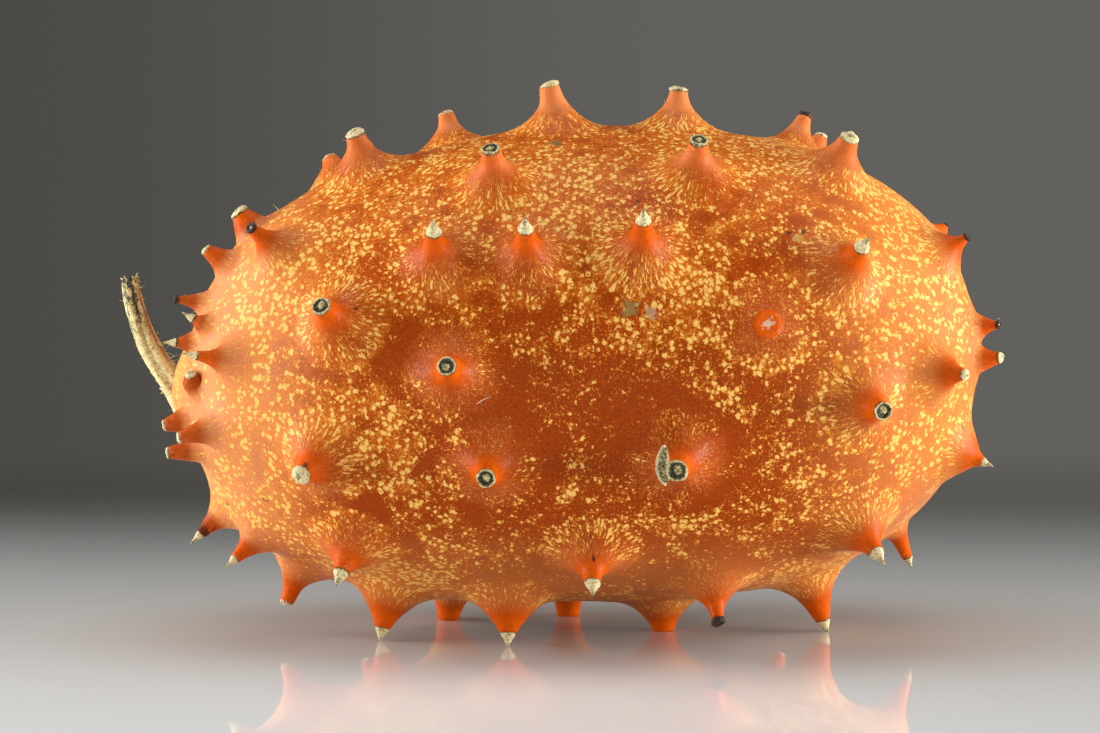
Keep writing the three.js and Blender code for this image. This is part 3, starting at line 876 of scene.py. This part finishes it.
# Single hairs: where, as for horns, how far they reach along, round and out, and their
# radius, in millimetres.
SINGLE_HAIRS = (
    (-14.5, 355.5, 2.3, 1.3, 0.25, 0.075), (-9.5, 43, -0.8, -0.9, 0.5, 0.04),
    (-10.5, 41, 0.3, -1, 0.5, 0.04), (39.5, 328, 1, 0.6, 0.4, 0.04), (-5, 36, 0.2, 1.4, 0.5, 0.04),
    (-2, 34.5, 0.9, 0.7, 0.4, 0.04), (-67.5, 65.5, -0.3, 0.2, 0.6, 0.17),
    (-80, 300, 0.1, -0.5, 1, 0.07), (-84, 280, -0.2, 0.4, 1, 0.07), (-50, 78, -0.9, 0.2, 0.5, 0.04),
    (-47, 80, -0.3, 0.4, 1, 0.04),
)
HAIR_TONES = ((0, "#efe4cf"), (1, "#bfa479"))


def bristle(made, tone, shade, base, reach, bow, radius):
    """Adds a thin pointed hair at base, bowed sideways at its middle."""
    side = reach.orthogonal().normalized()
    other = reach.cross(side).normalized()
    before = len(made.verts)
    cone = {"cap_ends": True, "segments": 4, "radius1": 1, "radius2": 0.3, "depth": 9}
    ends = bmesh.ops.create_cone(made, **cone)["verts"]
    sides = {edge for corner in ends for edge in corner.link_edges if edge.calc_length() > 5}
    bmesh.ops.subdivide_edges(made, edges=list(sides), cuts=BRISTLE_CUTS, use_grid_fill=True)
    for corner in list(made.verts)[before:]:
        share = corner.co.z / cone["depth"] + 0.5
        middle = base + reach * share + bow * (4 * share * (1 - share))
        corner.co = middle + radius * (side * corner.co.x + other * corner.co.y)
        corner[tone] = shade


bm = bmesh.new()
tone = bm.verts.layers.float.new("tone")
for horn in horns:
    if horn.kind.startswith("standing"):     # worn off where the fruit stood on them
        continue
    for _ in range(HAIRS_PER_HORN):
        angle = chance.uniform(0, math.tau)
        beside = horn.foot_radius * chance.uniform(*HAIR_PLACE)
        spread = horn.along * math.cos(angle) + horn.round_axis * math.sin(angle)
        base = raise_horn(horn, direction_under(horn.foot + beside * spread)[None])[0][0]
        reach = Vector(0.6 * horn.normal + spread * 0.5) + 0.9 * noise.random_unit_vector()
        length = chance.uniform(*HAIR_LENGTH)
        bow = length * HAIR_BOW * noise.random_unit_vector()
        shade = chance.random()
        reach = reach.normalized() * length
        bristle(bm, tone, shade, Vector(base + widest), reach, bow, HAIR_RADIUS)
for towards_blossom, around, along, round_axis, out, radius in SINGLE_HAIRS:
    direction = direction_of(towards_blossom, around)
    normal = rind_normal(direction)
    lengthways = unit(np.array([1, 0, 0]) - normal[0] * normal)
    reach = lengthways * along + np.cross(normal, lengthways) * round_axis + normal * out
    base = Vector(swollen_rind_point(direction) + widest)
    bow = Vector(normal * 0.25 + np.cross(normal, lengthways) * 0.2) / 1000
    bristle(bm, tone, 0.1, base, Vector(reach / 1000), bow, radius / 1000)
bmesh.ops.recalc_face_normals(bm, faces=bm.faces)
dead_hair = dry_material("dead_plant_hair", HAIR_TONES, 0.00001)
rind_hairs = make_piece(bm, "rind_hairs", dead_hair, smooth=False)
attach(rind_hairs, "root")


# ---- The stalk -------------------------------------------------------------------
# The stalk that the fruit hung from, dried to a ridged, woody stub. It broke off above,
# leaving a ragged hollow end, and keeps the stiff short bristles of the living vine.

STALK_LINE = (
    (-55.2, -0.7, -6.6), (-56.4, -0.6, -4.4), (-57.4, -0.5, -2.6), (-58.9, -0.3, -0.7),
    (-60.4, 0.1, 1.5), (-61.6, 0.5, 3.9), (-62.6, 0.9, 6.8), (-63.4, 1.3, 9.9), (-63.7, 1.6, 12.9),
)
STALK_ROOT_RADIUS = 0.0023
STALK_END_RADIUS = 0.00118
STALK_TAPER = 0.75
STALK_SIDES = 60
STALK_STEPS = 90
STALK_RIDGES = 5
STALK_TWIST = 0.7
# Shares of the radius: between the ridges, and what ridges, flutes and lumps add to it.
STALK_CORE = 0.86
RIDGE_HEIGHT = 0.18
FLUTE_HEIGHT = 0.13
LUMP_HEIGHT = 0.08
ROOTED_AT = 0.85              # where a bristle starts, just under the skin
TORN_STEPS = ((0.25, 0.005), (0.12, 0.09), (0.1, 0.03))     # inwards and down
TEAR = 0.03                   # how far up and down the torn rim goes, as a share of length
# Straw-coloured bark, weathered grey-green towards the torn end, and dark inside.
STALK_TONES = ((0, "#e0d29a"), (0.35, "#b7a568"), (0.65, "#6f6844"), (1, "#20211b"))
BLUSHED_SIDE = 0.35           # the angle from the side towards the fruit
BLUSH_SPREAD = 0.5
TOOTHED_SIDE = BLUSHED_SIDE + 0.5
TEETH = 15
TEETH_FROM = 0.36
TEETH_ALONG = 0.5
TOOTH_RADIUS = 0.0001
LOOSE_BRISTLES = 34
LOOSE_RADIUS = 0.00005
SCRAP_BOW = 0.25
# Single bristles, scales and fibres: share of the stalk's length, angle round it, how far
# they reach right, forwards and up, and their radius, in millimetres.
STALK_SCRAPS = (
    (0.9, 0.1, 0.9, -0.1, 0.3, 0.12), (0.93, 1.2, 0.2, -0.4, 0.5, 0.16),
    (0.98, 0.4, 0.2, 0, 0.7, 0.15), (0.97, 3, -0.4, 0, 0.2, 0.2),
    (0.98, 2.2, -0.2, -0.2, 0.4, 0.14), (0.55, 0, 0.5, -0.2, 0.7, 0.1),
    (0.5, 0.2, 0.9, -0.3, -0.6, 0.16), (0.46, 0.1, 1.2, -0.2, 0.9, 0.05),
    (0.42, 0, 1.6, 0, 1.2, 0.04), (0.4, 0.3, 1.4, -0.4, -0.2, 0.06),
    (0.36, 0.2, 1.8, -0.3, 0.6, 0.05), (0.33, 0.1, 1.9, -0.2, -0.3, 0.06),
    (0.3, 0.3, 2.1, -0.5, 0.3, 0.05), (0.28, 0.2, 1.7, -0.6, -0.6, 0.06),
    (0.25, 0.4, 2.4, -0.4, 0.9, 0.04), (0.22, 0.3, 1.9, -0.8, 0.1, 0.07),
    (0.35, 0.6, 1.3, -0.9, 0.9, 0.05), (0.2, 0.5, 2.2, -0.7, 0.6, 0.04),
    (0.34, 3.1, -0.3, 0, 0.15, 0.13), (0.28, 3, -0.35, 0, 0.1, 0.15),
    (0.2, 3, -0.6, -0.1, 0.35, 0.3), (0.18, 2.8, -0.6, -0.3, -0.1, 0.26),
)

stalk_points = np.array(STALK_LINE) / 1000
stalk_lengths = np.append(0, np.cumsum(np.linalg.norm(np.diff(stalk_points, axis=0), axis=1)))


def along_stalk(share):
    """A point of the stalk's middle line and its direction, from 0 at the fruit to 1."""
    def spot(length):
        places = [np.interp(length, stalk_lengths, stalk_points[:, axis]) for axis in range(3)]
        return Vector(places)
    total = stalk_lengths[-1]
    steps = [spot(min(max(share + shift, 0), 1) * total) for shift in (-0.06, -0.03, 0, 0.03, 0.06)]
    return sum(steps, Vector()) / 5, (steps[-1] - steps[0]).normalized()


def on_stalk(share, angle, out):
    """The place at a distance out from the stalk's middle line."""
    spot, forward = along_stalk(share)
    side = forward.cross(Vector((0, -1, 0))).normalized()
    front = side.cross(forward).normalized()
    return spot + out * (side * math.cos(angle) + front * math.sin(angle)) + Vector(widest)


def stalk_radius(share):
    narrower = STALK_END_RADIUS - STALK_ROOT_RADIUS
    return STALK_ROOT_RADIUS + narrower * share ** STALK_TAPER


def in_skin(share, angle):
    """The place just under the stalk's skin where a bristle is rooted."""
    return on_stalk(share, angle, stalk_radius(share) * ROOTED_AT)


def growth(angle, bumps_round, along):
    """Uneven growth that closes round the stalk."""
    across = Vector((math.cos(angle), math.sin(angle), 0)) * bumps_round
    return noise.noise(across + Vector((0, 0, along)))


bm = bmesh.new()
tone = bm.verts.layers.float.new("tone")
blush = bm.verts.layers.float.new("blush")
bmesh.ops.create_cone(bm, cap_ends=True, segments=STALK_SIDES, radius1=1, radius2=1, depth=1)
lengthways = [edge for edge in bm.edges if abs(edge.verts[0].co.z - edge.verts[1].co.z) > 0.5]
bmesh.ops.subdivide_edges(bm, edges=lengthways, cuts=STALK_STEPS, use_grid_fill=True)
torn_end = [face for face in bm.faces if face.normal.z > 0.5]
for inward, down in TORN_STEPS:
    bmesh.ops.inset_region(bm, faces=torn_end, thickness=inward)
    for corner in {corner for face in torn_end for corner in face.verts}:
        corner.co.z -= down
for corner in bm.verts:
    share = min(max(corner.co.z + 0.5, 0), 1)
    angle = math.atan2(corner.co.y, corner.co.x)
    out = math.hypot(corner.co.x, corner.co.y)
    outside = out > 0.8
    ridge = 0.5 + 0.5 * math.cos(STALK_RIDGES * (angle + STALK_TWIST * share))
    flute = growth(angle, 3.4, share * 3)
    lump = growth(angle, 1.6, share * 16 + 4)
    mottle = growth(angle, 2.4, share * 22)
    relief = STALK_CORE + RIDGE_HEIGHT * ridge + FLUTE_HEIGHT * flute + LUMP_HEIGHT * lump
    tear = TEAR * (growth(angle, 2.6, 9) + math.cos(angle)) - 0.025
    tear = tear * smoothstep(0.9, 1, share)
    corner.co = on_stalk(share + tear, angle, stalk_radius(share) * relief * out)
    weathered = smoothstep(0.4, 0.9, share) * (0.42 - 0.7 * flute + 0.8 * mottle)
    in_grooves = 0.3 * (1 - ridge) * (0.4 + share)
    corner[tone] = min(max(weathered + in_grooves, 0), 1) if outside else 1
    off_blush = (angle - BLUSHED_SIDE) / BLUSH_SPREAD
    in_length = smoothstep(0.22, 0.42, share) * smoothstep(0.98, 0.85, share)
    corner[blush] = 0.9 * math.exp(-off_blush ** 2) * in_length if outside else 0
for index in range(TEETH):
    share = TEETH_FROM + TEETH_ALONG * index / TEETH
    reach = on_stalk(share + 0.01, TOOTHED_SIDE, 0.0016) - on_stalk(share, TOOTHED_SIDE, 0.0012)
    base = in_skin(share, TOOTHED_SIDE + chance.uniform(-0.1, 0.1))
    bristle(bm, tone, 0.1, base, reach * chance.uniform(0.6, 1.1), Vector(), TOOTH_RADIUS)
for _ in range(LOOSE_BRISTLES):
    share = chance.uniform(0.05, 0.97)
    angle = chance.uniform(0, math.tau)
    base = in_skin(share, angle)
    reach = on_stalk(min(share + 0.015, 1), angle, stalk_radius(share) + 0.0005) - base
    shade = chance.uniform(0, 0.4)
    bristle(bm, tone, shade, base, reach * chance.uniform(0.5, 1.3), Vector(), LOOSE_RADIUS)
for share, angle, right, forwards, up, radius in STALK_SCRAPS:
    reach = Vector((right, forwards, up)) / 1000
    bow = reach.length * SCRAP_BOW * noise.random_unit_vector()
    shade = chance.uniform(0, 0.25)
    bristle(bm, tone, shade, in_skin(share, angle), reach, bow, radius / 1000)
bmesh.ops.recalc_face_normals(bm, faces=bm.faces)
stalk_fibre = dry_material("dried_stalk_fibre", STALK_TONES, 0.00012)
dried_stalk = make_piece(bm, "dried_stalk", stalk_fibre)
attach(dried_stalk, "root")
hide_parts("stalk")


# ---- The studio ------------------------------------------------------------------
# A sheet of white glossy acrylic, painted darker towards the back and on the right as painted
# shade, that fades into a grey backdrop that glows with painted light, a softbox at either
# side, one overhead, and the camera a little above the fruit.

CAMERA_LENS = 120
CAMERA_DISTANCE = 0.524
CAMERA_ELEVATION = math.radians(4.5)
CAMERA_AIM = Vector(widest) + Vector((-0.0036, 0, -0.0003))
BACKDROP_AT = 1.6
BACKDROP_SIZE = 3
# The backdrop's glow is painted light, darker on the left as painted shade.
BACKDROP_GREYS = ("#4c4b47", "#62615d")
BACKDROP_FADE = (-0.15, 0.06)         # slopes to the side between which it grows lighter
FLOOR_SIZE = 4
# The floor's white is painted darker towards the back, as painted falloff of the light.
FLOOR_WHITES = ("#f6f8f8", "#24231f")     # near, and where it falls off into the dark
FLOOR_PAINTED_FALLOFF = (-0.08, 0.2)
# Painted shade: the floor's white is dimmer on the right.
FLOOR_PAINTED_SIDE_SHADE = (-0.12, 0.12, 1, 0.8)   # the right side is dimmer than the left
INTO_BACKDROP = (0.1, 0.27)
# Each light: where it is, how wide and high, and its power in watts.
LIGHTS = {
    "left_softbox": ((-0.6, 0.06, 0.2), (0.5, 0.5), 4.4),
    "right_softbox": ((0.6, 0.06, 0.2), (0.5, 0.5), 2.8),
    "top_softbox": ((0, 0.06, 0.7), (0.6, 0.4), 1.8),
    "left_strip": ((-0.5, -0.12, 0.03), (0.3, 0.06), 1.0),
    "right_strip": ((0.5, -0.12, 0.03), (0.3, 0.06), 2.4),
    "front_card": ((0.02, -0.45, 0.02), (0.6, 0.04), 0.2),
}
ROOM_GREY = "#a6a5a1"

camera = bpy.data.objects.new("camera", bpy.data.cameras.new("camera"))
camera.data.lens = CAMERA_LENS
camera.rotation_euler = (math.pi / 2 - CAMERA_ELEVATION, 0, 0)
back = Vector((0, -math.cos(CAMERA_ELEVATION), math.sin(CAMERA_ELEVATION)))
camera.location = CAMERA_AIM + CAMERA_DISTANCE * back
bpy.context.scene.collection.objects.link(camera)
bpy.context.scene.camera = camera
bpy.context.scene.view_settings.view_transform = "Standard"


def sheet(name, material, size, location, turn):
    bm = bmesh.new()
    bmesh.ops.create_grid(bm, x_segments=1, y_segments=1, size=size)
    made = make_piece(bm, name, material, smooth=False)
    made.location = location
    made.rotation_euler = turn


def painted_backdrop_glow(tree, sideways, away):
    """The grey of the backdrop, darker on the left, from how far to the side a place is
    and how far away."""
    # An emission colour: painted light, with painted shade on the left.
    slope = add(tree, "Math", (sideways, away), operation="DIVIDE")
    lighter = add(tree, "MapRange", (slope, *BACKDROP_FADE), **SOFT)
    left, right = [linear(grey) for grey in BACKDROP_GREYS]
    inputs = {"Factor": lighter, "A": left, "B": right}
    return add(tree, "Mix", inputs, data_type="RGBA")


# A seamless grey sheet that glows with painted light, as no lamp lights it, darker on the
# left as painted shade, so it has no shine and no folds.
glowing_backdrop = new_material("glowing_grey_backdrop")
tree = glowing_backdrop.node_tree
sideways = add(tree, "SeparateXYZ", (add(tree, "TexCoord", give="Object"),), give="X")
grey = painted_backdrop_glow(tree, sideways, BACKDROP_AT + CAMERA_DISTANCE)
add(tree, "OutputMaterial", {"Surface": add(tree, "Emission", {"Color": grey})})
sheet("backdrop", glowing_backdrop, BACKDROP_SIZE, (0, BACKDROP_AT, 0), (math.pi / 2, 0, 0))

# Cast acrylic, so smooth that it mirrors the fruit faintly, over white that is painted darker
# towards the back as painted falloff of the light, and dimmer on the right as painted shade.
# Its far part glows with the backdrop's painted grey, with no line where the two meet.
acrylic = new_material("white_glossy_acrylic")
tree = acrylic.node_tree
sideways = add(tree, "SeparateXYZ", (add(tree, "TexCoord", give="Object"),), give="X")
depth = sideways.node.outputs["Y"]
fade = add(tree, "MapRange", (depth, *FLOOR_PAINTED_FALLOFF), **SOFT)
near, far = [linear(white) for white in FLOOR_WHITES]
white = add(tree, "Mix", {"Factor": fade, "A": near, "B": far}, data_type="RGBA")
dimmer = add(tree, "MapRange", (sideways, *FLOOR_PAINTED_SIDE_SHADE))
white = add(tree, "VectorMath", {0: white, "Scale": dimmer}, operation="SCALE")
polished = {"Base Color": white, "Roughness": 0.005, "IOR": 1.49}
polished = add(tree, "BsdfPrincipled", polished)
away = add(tree, "Math", (depth, CAMERA_DISTANCE), **PLUS)
# The floor's far part glows with the backdrop's painted grey.
grey = add(tree, "Emission", {"Color": painted_backdrop_glow(tree, sideways, away)})
into_backdrop = add(tree, "MapRange", (depth, *INTO_BACKDROP), **SOFT)
blend = add(tree, "MixShader", (into_backdrop, polished, grey))
add(tree, "OutputMaterial", {"Surface": blend})
sheet("floor", acrylic, FLOOR_SIZE, (0, 0, 0), (0, 0, 0))

for name, (position, size, power) in LIGHTS.items():
    light = bpy.data.lights.new(name, "AREA")
    light.shape = "RECTANGLE"
    light.size, light.size_y = size
    light.energy = power
    lamp = bpy.data.objects.new(name, light)
    lamp.location = position
    lamp.visible_camera = False
    lamp.rotation_euler = (Vector(widest) - lamp.location).to_track_quat("-Z", "Y").to_euler()
    bpy.context.scene.collection.objects.link(lamp)

world = bpy.data.worlds.new("studio")
world.use_nodes = True
room = world.node_tree.nodes["Background"]
room.inputs["Color"].default_value = linear(ROOM_GREY)
room.inputs["Strength"].default_value = 1
bpy.context.scene.world = world
